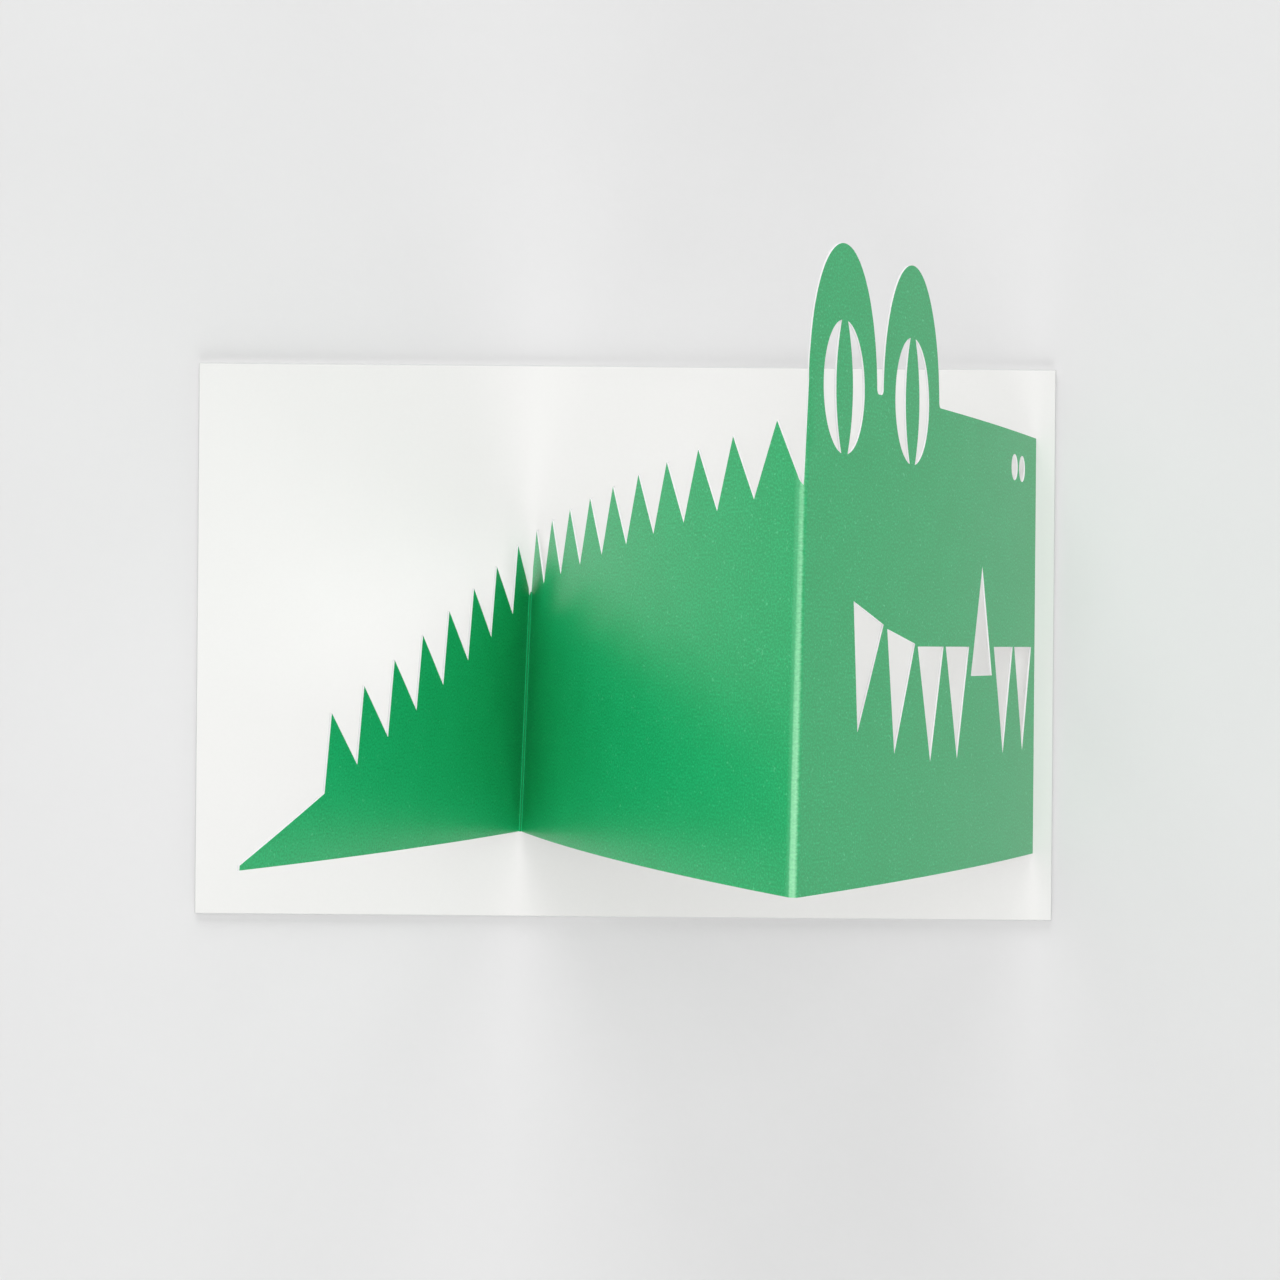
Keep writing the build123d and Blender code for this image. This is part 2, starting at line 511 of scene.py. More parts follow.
@dataclass(frozen=True)
class BoardFace(BareCard):
    """The backing card's white board, with painted shade that greys its cut rim. The half sizes are in
    millimetres.
    """

    rim: float = 0.62
    rim_width: float = 0.25
    half_width: float = 0.0
    half_height: float = 0.0

    def _marked(self, shader: Shader, colour: bpy.types.NodeSocket) -> bpy.types.NodeSocket:
        """The colour with painted shade along the rim."""
        x, y, _ = shader.parts(shader.object_place())
        beside = self.half_width - abs(x * (1 / MM))
        above = self.half_height - abs(y * (1 / MM))
        # Painted shade: the board's colour turns grey towards its rim.
        rim = beside.least(above).rise(self.rim_width, self.rim_width / 3)
        return shader.mix(rim, colour, grey(self.rim))


@dataclass(frozen=True)
class StudioFloor:
    """A plain pale floor. Sizes and relief are in millimetres."""

    level: float = 0.785
    unevenness: float = 0.02
    cloud_size: float = 60.0
    grain_size: float = 3.0
    grain_contrast: float = 0.3
    relief: float = 0.05
    roughness: float = 0.9

    def material(self) -> bpy.types.Material:
        """The material, with a faint unevenness."""
        material, shader = new_shader("studio_floor")
        place = shader.object_place()
        cloud = shader.noise(place, self.cloud_size, 3.0, 0.55)
        grain = shader.noise(place, self.grain_size, 3.0, 0.6)
        tone = cloud + grain * self.grain_contrast + 0.5
        light, dark = grey(self.level + self.unevenness), grey(self.level - self.unevenness)
        shader.principled(
            {
                "Base Color": shader.mix(tone, light, dark),
                "Roughness": self.roughness,
                "Normal": shader.bump(grain, self.relief),
            }
        )
        return material


@dataclass(frozen=True)
class Arc:
    """One circular run of the folded strip's underside, in the section across the folds."""

    centre: np.ndarray
    radius: float
    start: float
    turn: float
    facing: float

    @property
    def length(self) -> float:
        """Its length."""
        return abs(self.turn) * self.radius

    def at(self, distance: np.ndarray) -> tuple[np.ndarray, np.ndarray]:
        """Points and directions along the arc.

        Args:
            distance: Distances from its start.

        Returns:
            The points, and the directions in which the printed face looks there.
        """
        angle = self.start + self.turn * distance / self.length
        outward = np.stack([np.cos(angle), np.sin(angle)], axis=-1)
        return self.centre + self.radius * outward, self.facing * outward


def circle_meeting(
    first: np.ndarray, first_radius: float, second: np.ndarray, second_radius: float, near: np.ndarray
) -> np.ndarray:
    """Where two circles cross.

    Args:
        first: Centre of the first circle.
        first_radius: Its radius.
        second: Centre of the second circle.
        second_radius: Its radius.
        near: A point near the crossing that is wanted.

    Returns:
        The crossing nearest to that point.
    """
    gap = second - first
    distance = np.linalg.norm(gap)
    along = (distance**2 + first_radius**2 - second_radius**2) / (2 * distance)
    beside = math.sqrt(max(first_radius**2 - along**2, 0.0))
    way = gap / distance
    side = np.array([-way[1], way[0]])
    found = [first + way * along + side * beside * sign for sign in (1, -1)]
    return min(found, key=lambda point: np.linalg.norm(point - near))


def angle_of(direction: np.ndarray) -> float:
    """Angle of a direction in the section."""
    return math.atan2(direction[1], direction[0])


def short_turn(start: float, end: float) -> float:
    """The turn from one angle to another, the short way round."""
    return (end - start + math.pi) % (2 * math.pi) - math.pi


@dataclass
class FoldedLine:
    """Section through the zigzag: the strip's underside from the nose edge to the tail tip.

    Points are (across, up), with the origin where the nose edge stands on the backing card.
    """

    nose_to_mountain: float = 55.9
    nose_to_valley: float = 106.15
    nose_to_tail_tip: float = 148.4
    mountain_height: float = 113.6
    tail_tip_height: float = 110.8
    head_bulge: float = 2.35
    body_bulge: float = 4.5
    tail_bulge: float = 2.0
    mountain_radius: float = 0.5
    valley_radius: float = 0.75
    settling_rounds: int = 4
    chord_points: int = 241
    corners: dict[str, np.ndarray] = field(init=False)
    arcs: list[Arc] = field(init=False)
    starts: np.ndarray = field(init=False)

    def __post_init__(self) -> None:
        """Finds the height at which the rounded valley fold rests on the backing card."""
        drop = 0.0
        for _ in range(self.settling_rounds):
            self._lay_out(drop)
            drop += self.arcs[3].centre[1] - self.valley_radius

    def _lay_out(self, drop: float) -> None:
        """Works out the five arcs.

        Args:
            drop: How far the unrounded valley corner lies below the backing card's face.
        """
        nose = np.array([0.0, 0.0])
        mountain = np.array([-self.nose_to_mountain, self.mountain_height])
        valley = np.array([-self.nose_to_valley, -drop])
        tail = np.array([-self.nose_to_tail_tip, self.tail_tip_height])
        self.corners = {"nose": nose, "mountain": mountain, "valley": valley, "tail": tail}
        head_centre, head_radius = self._bow(nose, mountain, self.head_bulge)
        body_centre, body_radius = self._bow(valley, mountain, self.body_bulge)
        tail_centre, tail_radius = self._bow(valley, tail, self.tail_bulge)
        over = circle_meeting(
            head_centre, head_radius - self.mountain_radius,
            body_centre, body_radius - self.mountain_radius, mountain,
        )
        under = circle_meeting(
            body_centre, body_radius + self.valley_radius,
            tail_centre, tail_radius + self.valley_radius, valley,
        )
        head_end = angle_of(over - head_centre)
        body_start = angle_of(over - body_centre)
        body_end = angle_of(under - body_centre)
        tail_start = angle_of(under - tail_centre)
        runs = [
            (head_centre, head_radius, angle_of(nose - head_centre), head_end, 1.0),
            (over, self.mountain_radius, head_end, body_start, 1.0),
            (body_centre, body_radius, body_start, body_end, 1.0),
            (under, self.valley_radius, angle_of(body_centre - under), angle_of(tail_centre - under), -1.0),
            (tail_centre, tail_radius, tail_start, angle_of(tail - tail_centre), 1.0),
        ]
        self.arcs = [
            Arc(centre, radius, start, short_turn(start, end), facing)
            for centre, radius, start, end, facing in runs
        ]
        self.starts = np.concatenate([[0.0], np.cumsum([arc.length for arc in self.arcs])])

    @staticmethod
    def _bow(low: np.ndarray, high: np.ndarray, bulge: float) -> tuple[np.ndarray, float]:
        """Circle of a bowed panel.

        Args:
            low: The panel's low corner.
            high: Its high corner.
            bulge: How far its middle bows out towards the reader.

        Returns:
            The circle's centre and radius.
        """
        chord = high - low
        half = np.linalg.norm(chord) / 2
        radius = (half**2 + bulge**2) / (2 * bulge)
        outward = np.array([-chord[1], chord[0]]) / (2 * half)
        if outward[1] < 0:
            outward = -outward
        return (low + high) / 2 - outward * (radius - bulge), radius

    @property
    def length(self) -> float:
        """Length of the whole strip."""
        return float(self.starts[-1])

    @property
    def mountain_at(self) -> float:
        """Distance along the strip of the mountain fold's middle."""
        return float((self.starts[1] + self.starts[2]) / 2)

    @property
    def valley_at(self) -> float:
        """Distance along the strip of the valley fold's middle."""
        return float((self.starts[3] + self.starts[4]) / 2)

    def at(self, along: np.ndarray) -> tuple[np.ndarray, np.ndarray]:
        """Points and directions along the strip.

        Args:
            along: Distances from the nose edge.

        Returns:
            The points, and the directions in which the printed face looks there.
        """
        points = np.zeros((len(along), 2))
        facing = np.zeros((len(along), 2))
        which = np.clip(np.searchsorted(self.starts, along, side="right") - 1, 0, len(self.arcs) - 1)
        for number, arc in enumerate(self.arcs):
            here = which == number
            points[here], facing[here] = arc.at(along[here] - self.starts[number])
        return points, facing

    def chord_table(self, panel: Panel) -> tuple[np.ndarray, np.ndarray]:
        """How places along a panel's chord match distances along the strip.

        Args:
            panel: The panel.

        Returns:
            Places from the chord's low end, rising, and the distance along the strip at each.
        """
        low_name, high_name, number = {
            Panel.HEAD: ("nose", "mountain", 0),
            Panel.BODY: ("valley", "mountain", 2),
            Panel.TAIL: ("valley", "tail", 4),
        }[panel]
        low, high = self.corners[low_name], self.corners[high_name]
        chord = high - low
        span = float(np.linalg.norm(chord))
        start, end = self.starts[number : number + 2]
        along = np.linspace(start, end, self.chord_points)
        points, _ = self.at(np.clip(along, start + ON_ARC, end - ON_ARC))
        places = (points - low) @ chord / span
        ends = {
            Panel.HEAD: [(span, self.mountain_at)],
            Panel.BODY: [(0.0, self.valley_at), (span, self.mountain_at)],
            Panel.TAIL: [(0.0, self.valley_at)],
        }[panel]
        places = np.concatenate([places, [place for place, _ in ends]])
        along = np.concatenate([along, [distance for _, distance in ends]])
        order = np.argsort(places)
        return places[order], along[order]


@dataclass
class PanelPlane:
    """Flat plane of one panel, in which its outline is drawn, as in the part's source."""

    panel: Panel
    line: FoldedLine
    low: np.ndarray
    high: np.ndarray
    low_foot_y: float
    strip: "Strip"
    settling_rounds: int = 3

    def __post_init__(self) -> None:
        """Works out the plane's directions and its table of chord places."""
        chord = self.high - self.low
        self.across = np.array([chord[0], 0.0, chord[1]]) / np.linalg.norm(chord)
        fold = self.strip.corner_at(self.low, 1.0) - self.strip.corner_at(self.low, 0.0)
        normal = np.cross(self.across, fold)
        normal /= np.linalg.norm(normal)
        self.up = np.cross(normal, self.across)
        self.outward = normal if normal[2] > 0 else -normal
        self.origin = self.strip.corner_at(self.low, self.low_foot_y)
        self.places, self.alongs = self.line.chord_table(self.panel)

    def local(self, point: np.ndarray) -> np.ndarray:
        """A point in space, in the plane's own coordinates."""
        offset = point - self.origin
        return np.array([offset @ self.across, offset @ self.up])

    def on_strip(self, points: np.ndarray) -> np.ndarray:
        """Places drawn in the plane, on the strip.

        Args:
            points: Rows of plane coordinates.

        Returns:
            Rows of distance along the strip and height up the backing card.
        """
        flat = self.origin + points[:, :1] * self.across + points[:, 1:] * self.up
        heights = flat[:, 1]
        along = np.zeros(len(points))
        for _ in range(self.settling_rounds):
            shares = self.strip.fan_share(heights)
            corners = self.strip.corner_at(self.low, flat[:, 1])
            places = (flat - corners) @ self.across / self.strip.fan_share(flat[:, 1])
            along = np.interp(places, self.places, self.alongs)
            section, _ = self.line.at(along)
            bow = self.low + (self.high - self.low) * (places / np.linalg.norm(self.high - self.low))[:, None]
            rise = np.linalg.norm(section - bow, axis=1) * shares
            heights = flat[:, 1] + rise * self.outward[1]
        return np.stack([along, heights], axis=1)


@dataclass
class Strip:
    """The strip of card in space: where it stands on the backing card, and how its folds fan out."""

    line: FoldedLine = field(default_factory=FoldedLine)
    nose_x: float = 84.6
    backing_thickness: float = 1.5
    nose_foot_y: float = -43.3
    fan_length: float = 3125.0
    thickness: float = 0.4

    def fan_share(self, y: np.ndarray | float) -> np.ndarray | float:
        """Size of the zigzag at height y, as a share of its size at the nose's foot."""
        return 1 - (y - self.nose_foot_y) / self.fan_length

    def corner_at(self, corner: np.ndarray, y: np.ndarray | float) -> np.ndarray:
        """A corner of the section, at height y up the backing card."""
        y = np.asarray(y, float)
        share = self.fan_share(y)
        return np.stack(
            [self.nose_x + share * corner[0], y, self.backing_thickness + share * corner[1]], axis=-1
        )

    def in_space(self, places: np.ndarray, depth: float | np.ndarray) -> np.ndarray:
        """Points of the folded sheet.

        Args:
            places: Rows of distance along the strip and height up the backing card.
            depth: How far above the underside the points lie.

        Returns:
            Rows of x, y and z.
        """
        section, facing = self.line.at(places[:, 0])
        share = self.fan_share(places[:, 1])[:, None]
        section = share * (section + facing * np.reshape(depth, (-1, 1)))
        return np.stack(
            [self.nose_x + section[:, 0], places[:, 1], self.backing_thickness + section[:, 1]], axis=1
        )


def runs_between(corners: list[np.ndarray], longest: float) -> np.ndarray:
    """Points along straight lines.

    Args:
        corners: The lines' corners, in order.
        longest: The longest step between two points.

    Returns:
        Rows of points, corners included, without the last corner.
    """
    rows = []
    for start, end in zip(corners[:-1], corners[1:]):
        steps = max(1, math.ceil(float(np.linalg.norm(np.subtract(end, start))) / longest))
        shares = np.arange(steps)[:, None] / steps
        rows.append(np.asarray(start, float) * (1 - shares) + np.asarray(end, float) * shares)
    return np.concatenate(rows)


def closed(corners: list[np.ndarray]) -> list[np.ndarray]:
    """The corners with the first one again at the end."""
    return [*corners, corners[0]]


@dataclass
class Eye:
    """An upright oval hole, slit by a pupil of card that bridges it."""

    width: float = 16.35
    height: float = 22.95
    pupil_width: float = 6.75
    pupil_end_width: float = 2.5
    points: int = 44
    halvings: int = 50

    def holes(self, middle: np.ndarray) -> list[np.ndarray]:
        """The two half-moon holes beside the pupil.

        Args:
            middle: The eye's middle.

        Returns:
            The outline of each hole.
        """
        half_height = self.height / 2
        sagitta = (self.pupil_width - self.pupil_end_width) / 2
        radius = (half_height**2 + sagitta**2) / (2 * sagitta)
        arc_middle = self.pupil_width / 2 - radius

        def oval(y: float) -> float:
            """Half width of the oval at a height."""
            return self.width / 2 * math.sqrt(max(1 - (y / half_height) ** 2, 0.0))

        def pupil(y: float) -> float:
            """Half width of the pupil at a height."""
            return arc_middle + math.sqrt(radius**2 - y**2)

        low, high = 0.0, half_height
        for _ in range(self.halvings):
            tried = (low + high) / 2
            low, high = (tried, high) if oval(tried) > pupil(tried) else (low, tried)
        end = math.asin(low / half_height)
        angles = np.linspace(-end, end, self.points)
        outer = np.stack([self.width / 2 * np.cos(angles), half_height * np.sin(angles)], axis=1)
        heights = np.linspace(low, -low, self.points)[1:-1]
        inner = np.array([[pupil(y), y] for y in heights])
        right = np.concatenate([outer, inner])
        left = right * (-1, 1)
        return [right + middle, left[::-1] + middle]


@dataclass
class Head:
    """The head panel: a plain snout with two brows, eyes, nostrils and a toothed mouth."""

    nose_level: float = 86.2
    brow_level: float = 87.15
    brow_width: float = 27.3
    brow_rise: float = 24.6
    brow_fold_margin: float = 1.15
    brow_spacing: float = 30.0
    brow_corner_radius: float = 0.9
    nostril_width: float = 4.6
    nostril_height: float = 5.2
    nostril_level: float = 79.15
    front_nostril_place: float = 11.65
    nostril_spacing: float = 5.75
    tooth_width: float = 13.4
    tooth_length: float = 21.0
    front_tooth_place: float = 9.85
    tooth_spacing: float = 14.75
    mouth_level: float = 42.85
    level_teeth: int = 5
    upturned_tooth: int = 2
    upturned_tooth_level: float = 37.35
    mouth_corner_rises: tuple[float, ...] = (1.8, 5.8)
    mouth_corner_angles: tuple[float, ...] = (11.1, 16.9)
    tooth_lean_share: float = 0.74
    brow_points: int = 72
    brow_corner_points: int = 6
    nostril_points: int = 40
    eye: Eye = field(default_factory=Eye)

    def _brow_places(self, mountain_top: np.ndarray) -> tuple[float, float]:
        """Places of the front and the back brow."""
        back = mountain_top[0] - self.brow_fold_margin - self.brow_width / 2
        return back - self.brow_spacing, back

    def _brow(self, place: float, turned_back: bool, turned_front: bool) -> list[np.ndarray]:
        """One brow's outline, from its back end over the top to its front end.

        Args:
            place: The brow's middle.
            turned_back: Whether its back end turns smoothly into a level line.
            turned_front: Whether its front end does.

        Returns:
            Its points.
        """
        half, turn = self.brow_width / 2, self.brow_corner_radius
        quarter = np.linspace(0, math.pi / 2, self.brow_corner_points)

        def end_points(side: int, turned: bool) -> list[np.ndarray]:
            """One end of the brow.

            Args:
                side: 1 for the back end, -1 for the front end.
                turned: Whether it turns into a level line.

            Returns:
                The end's corner, or the turn's points from the level line up.
            """
            if not turned:
                return [np.array([place + side * half, self.brow_level])]
            centre = np.array([place + side * (half + turn), self.brow_level + turn])
            return [centre + turn * np.array([-side * math.sin(a), -math.cos(a)]) for a in quarter]

        lowest = math.asin(turn / self.brow_rise)
        start = lowest if turned_back else 0.0
        end = math.pi - (lowest if turned_front else 0.0)
        over = [
            np.array([place + half * math.cos(angle), self.brow_level + self.brow_rise * math.sin(angle)])
            for angle in np.linspace(start, end, self.brow_points)[1:-1]
        ]
        return [*end_points(1, turned_back), *over, *end_points(-1, turned_front)[::-1]]

    def back_line(self, mountain_top: np.ndarray) -> np.ndarray:
        """The head's upper outline, from the mountain fold to the nose.

        Args:
            mountain_top: The fold's top, in the head's plane.

        Returns:
            Its points, without the nose's own.
        """
        front, back = self._brow_places(mountain_top)
        corners = [mountain_top]
        corners += self._brow(back, False, True)
        corners += self._brow(front, True, True)
        corners.append(np.array([0.0, self.nose_level]))
        return runs_between(corners, OUTLINE_STEP)

    def holes(self, mountain_top: np.ndarray) -> list[np.ndarray]:
        """The outlines of the eyes, nostrils and teeth, in the head's plane."""
        found = []
        for place in self._brow_places(mountain_top):
            found += self.eye.holes(np.array([place, self.brow_level]))
        circle = np.linspace(0, 2 * math.pi, self.nostril_points, endpoint=False)
        for number in range(2):
            middle = np.array([self.front_nostril_place + number * self.nostril_spacing, self.nostril_level])
            oval = np.stack(
                [self.nostril_width / 2 * np.cos(circle), self.nostril_height / 2 * np.sin(circle)], axis=1
            )
            found.append(middle + oval)
        found += self._teeth()
        return found

    def _teeth(self) -> list[np.ndarray]:
        """The row of pointed slits along the mouth."""
        slits = []
        for number in range(self.level_teeth):
            place = self.front_tooth_place + number * self.tooth_spacing
            upturned = number == self.upturned_tooth
            level = self.upturned_tooth_level if upturned else self.mouth_level
            length = -self.tooth_length if upturned else self.tooth_length
            slits.append(self._tooth(np.array([place, level]), 0.0, length))
        for number, (rise, angle) in enumerate(zip(self.mouth_corner_rises, self.mouth_corner_angles)):
            place = self.front_tooth_place + (self.level_teeth + number) * self.tooth_spacing
            slits.append(self._tooth(np.array([place, self.mouth_level + rise]), angle, self.tooth_length))
        return slits

    def _tooth(self, base: np.ndarray, angle: float, length: float) -> np.ndarray:
        """One slit.

        Args:
            base: The middle of its base.
            angle: How far the base is turned, in degrees.
            length: Its length, downwards.

        Returns:
            Its outline.
        """
        turn, lean = math.radians(angle), math.radians(angle * self.tooth_lean_share)
        half_base = self.tooth_width / 2 * np.array([math.cos(turn), math.sin(turn)])
        point = length * np.array([math.sin(lean), -math.cos(lean)])
        return runs_between(closed([base + half_base, base - half_base, base + point]), TOOTH_STEP)


@dataclass
class SpikedBack:
    """The spiked upper outlines of the tail and the body.

    A short level notch cuts off the foot of the first spike beside the valley fold.
    """

    tail_spikes: int = 8
    even_body_spikes: int = 9
    tail_height: float = 12.55
    tail_lean: float = 0.43
    body_height: float = 12.15
    broad_width: float = 14.25
    broad_lean: float = 0.77
    valley_notch: float = 1.5
    spiked_tail_share: float = 0.776

    @staticmethod
    def _row(start: np.ndarray, end: np.ndarray, count: int, height: float, lean: float) -> list[np.ndarray]:
        """Points of a row of spikes after start and up to end, which lean back towards the start."""
        step = (end - start) / count
        way = step / np.linalg.norm(step)
        tip = step / 2 - way * lean + np.array([-way[1], way[0]]) * height
        points = []
        for number in range(count):
            points += [start + step * number + tip, start + step * (number + 1)]
        return points

    def tail(self, low_top: np.ndarray, high_top: np.ndarray) -> list[np.ndarray]:
        """The tail's back, from the valley fold to the tail tip's corner.

        Args:
            low_top: The valley fold's top, in the tail's plane.
            high_top: The tail tip's upper corner.

        Returns:
            Its corners.
        """
        way = high_top - low_top
        notch = low_top + way / np.linalg.norm(way) * self.valley_notch
        end = low_top + way * self.spiked_tail_share
        row = self._row(low_top, end, self.tail_spikes, self.tail_height, self.tail_lean)
        return [low_top, notch, *row, high_top]

    def body(self, low_top: np.ndarray, high_top: np.ndarray) -> list[np.ndarray]:
        """The body's back, from the valley fold to the mountain fold.

        Args:
            low_top: The valley fold's top, in the body's plane.
            high_top: The mountain fold's top.

        Returns:
            Its corners.
        """
        way = (high_top - low_top) / np.linalg.norm(high_top - low_top)
        notch = low_top + way * self.valley_notch
        broad_start = high_top - way * self.broad_width
        row = self._row(low_top, broad_start, self.even_body_spikes, self.body_height, 0.0)
        broad = self._row(broad_start, high_top, 1, self.body_height, -self.broad_lean)
        return [low_top, notch, *row, *broad]


@dataclass
class Crocodile:
    """The crocodile: one strip of card, die-cut, and folded in a zigzag."""

    mountain_foot_margin: float = 15.15
    valley_foot_margin: float = 17.6
    tail_foot_margin: float = 18.65
    lower_edge_y: float = -57.2
    valley_back_height: float = 49.7
    mountain_back_height: float = 68.5
    tail_tip_width: float = 0.9
    edge_wear: float = 0.05
    fold_columns: int = 9
    fold_shoulder: float = 0.5
    ridge_at: float = 0.6
    ridge_width: float = 0.25
    ridge_height: float = 0.04
    cell: float = 2.0
    strip: Strip = field(default_factory=Strip)
    head: Head = field(default_factory=Head)
    back: SpikedBack = field(default_factory=SpikedBack)

    def _planes(self) -> dict[Panel, PanelPlane]:
        """The planes in which the three panels are drawn."""
        corners = self.strip.line.corners
        valley_foot = self.lower_edge_y + self.valley_foot_margin
        rows = [
            (Panel.HEAD, "nose", "mountain", self.strip.nose_foot_y),
            (Panel.BODY, "valley", "mountain", valley_foot),
            (Panel.TAIL, "valley", "tail", valley_foot),
        ]
        return {
            panel: PanelPlane(panel, self.strip.line, corners[low], corners[high], foot, self.strip)
            for panel, low, high, foot in rows
        }

    def _outlines(self) -> tuple[np.ndarray, list[np.ndarray]]:
        """The die-cut outline on the flat strip.

        Returns:
            The outer outline, and the outlines of the holes, in rows of distance along the strip and
            height up the backing card.
        """
        corners = self.strip.line.corners
        planes = self._planes()
        head, body, tail = planes[Panel.HEAD], planes[Panel.BODY], planes[Panel.TAIL]

        def ends(corner: str, margin: float, height: float) -> list[np.ndarray]:
            """The foot and the top of a fold or of the strip's end."""
            foot = self.lower_edge_y + margin
            return [self.strip.corner_at(corners[corner], y) for y in (foot, foot + height)]

        mountain_foot, mountain_top = ends("mountain", self.mountain_foot_margin, self.mountain_back_height)
        valley_foot, valley_top = ends("valley", self.valley_foot_margin, self.valley_back_height)
        tail_foot, tail_top = ends("tail", self.tail_foot_margin, self.tail_tip_width)

        head_foot = [np.zeros(2), head.local(mountain_foot)]
        body_foot = [body.local(mountain_foot), body.local(valley_foot)]
        tail_foot_line = [tail.local(valley_foot), tail.local(tail_foot), tail.local(tail_top)]
        tail_back = self.back.tail(tail.local(valley_top), tail.local(tail_top))[::-1]
        body_back = self.back.body(body.local(valley_top), body.local(mountain_top))
        nose_edge = [np.array([0.0, self.head.nose_level]), np.zeros(2)]
        runs = [
            (head, runs_between(head_foot, OUTLINE_STEP)),
            (body, runs_between(body_foot, OUTLINE_STEP)),
            (tail, runs_between(tail_foot_line, OUTLINE_STEP)),
            (tail, runs_between(tail_back, OUTLINE_STEP)),
            (body, runs_between(body_back, OUTLINE_STEP)),
            (head, self.head.back_line(head.local(mountain_top))),
            (head, runs_between(nose_edge, OUTLINE_STEP)),
        ]
        outer = np.concatenate([plane.on_strip(run) for plane, run in runs])
        return outer, [head.on_strip(hole) for hole in self.head.holes(head.local(mountain_top))]

    def build(self) -> bpy.types.Object:
        """Makes the crocodile's mesh.

        Returns:
            The piece, with its material slots empty.
        """
        outer, holes = self._outlines()
        columns = self._columns()
        loops = [thinned(with_columns(loop, columns)) for loop in [outer, *holes]]
        inner_loops = [drawn_in(loop, self.edge_wear, number == 0) for number, loop in enumerate(loops)]
        places, triangles, rims = filled(inner_loops, columns, self.cell)
        return self._mesh(places, triangles, rims, loops)

    def _columns(self) -> np.ndarray:
        """Distances along the strip at which the rounded folds get lines of vertices."""
        starts = self.strip.line.starts
        columns = []
        for first, last in ((starts[1], starts[2]), (starts[3], starts[4])):
            columns += list(np.linspace(first, last, self.fold_columns))
            columns += [first - self.fold_shoulder, last + self.fold_shoulder]
        for side in (-1, 1):
            middle = self.strip.line.valley_at + side * self.ridge_at
            columns += [middle - self.ridge_width, middle, middle + self.ridge_width]
        return thinned_row(np.array(sorted(columns)), self.ridge_width / 3)

    def _ridges(self, places: np.ndarray) -> np.ndarray:
        """How far the score of the valley fold raises the printed face, along its two edges.

        Args:
            places: Rows of distance along the strip and height up the backing card.

        Returns:
            The height at each place.
        """
        from_ridge = np.abs(np.abs(places[:, 0] - self.strip.line.valley_at) - self.ridge_at)
        return self.ridge_height * np.clip(1 - from_ridge / self.ridge_width, 0.0, 1.0)

    def _mesh(
        self, places: np.ndarray, triangles: np.ndarray, rims: list[np.ndarray], loops: list[np.ndarray]
    ) -> bpy.types.Object:
        """Folds the filled outline and gives it its thickness.

        Args:
            places: The filled sheet's vertices, on the strip.
            triangles: Its triangles.
            rims: For each outline, the numbers of its vertices, in order.
            loops: The true outlines, which the cut edge follows.

        Returns:
            The piece.
        """
        thickness = self.strip.thickness
        worn_share = self.edge_wear / thickness
        count = len(places)
        printed = thickness + self._ridges(places)
        layers = [self.strip.in_space(places, printed), self.strip.in_space(places, 0.0)]
        marks = [(places, 1.0), (places, 0.0)]
        faces = [triangles, triangles[:, ::-1] + count]
        surfaces = [np.full(len(triangles), Surface.PRINT.value), np.full(len(triangles), Surface.BACK.value)]
        quads = []
        total = 2 * count
        for rim, loop in zip(rims, loops):
            size = len(loop)
            layers += [
                self.strip.in_space(loop, thickness - self.edge_wear + self._ridges(loop)),
                self.strip.in_space(loop, self.edge_wear),
            ]
            marks += [(loop, 1 - worn_share), (loop, worn_share)]
            rings = [rim, np.arange(size) + total, np.arange(size) + total + size, rim + count]
            total += 2 * size
            for upper, lower in zip(rings[:-1], rings[1:]):
                quads.append(np.stack([upper, np.roll(upper, -1), np.roll(lower, -1), lower], axis=1))
        quads = np.concatenate(quads)
        mesh = bpy.data.meshes.new("crocodile_card")
        mesh.from_pydata(
            (np.concatenate(layers) * MM).tolist(), [],
            [list(map(int, face)) for face in [*faces[0], *faces[1], *quads]],
        )
        surfaces.append(np.full(len(quads), Surface.CUT.value))
        mesh.polygons.foreach_set("material_index", np.concatenate(surfaces).astype(np.int32))
        place = mesh.attributes.new(PLACE, "FLOAT_VECTOR", "POINT")
        rows = [np.column_stack([row * MM, np.full(len(row), depth_share)]) for row, depth_share in marks]
        place.data.foreach_set("vector", np.concatenate(rows).astype(np.float32).ravel())
        piece = bpy.data.objects.new("crocodile_card", mesh)
        bpy.context.scene.collection.objects.link(piece)
        tidy(mesh)
        return piece

    def dress(self, piece: bpy.types.Object) -> None:
        """Gives the piece its three finishes."""
        line = self.strip.line
        green = GreenPrint(
            mountain_at=line.mountain_at,
            valley_at=line.valley_at,
            ridge_at=self.ridge_at,
            foot_y=self.lower_edge_y + self.mountain_foot_margin,
            top_y=self.lower_edge_y + self.mountain_foot_margin + self.mountain_back_height,
        )
        finishes = {
            Surface.PRINT: green,
            Surface.BACK: BareCard("bare_back"),
            Surface.CUT: CutEdge("cut_edge", white=0.84, fleck=0.77, fibre_size=0.25, relief=0.02),
        }
        for surface in Surface:
            piece.data.materials.append(finishes[surface].material())


def turns_left(loop: np.ndarray) -> bool:
    """Whether a closed outline runs anticlockwise."""
    x, y = loop[:, 0], loop[:, 1]
    return float(np.sum(x * np.roll(y, -1) - np.roll(x, -1) * y)) > 0


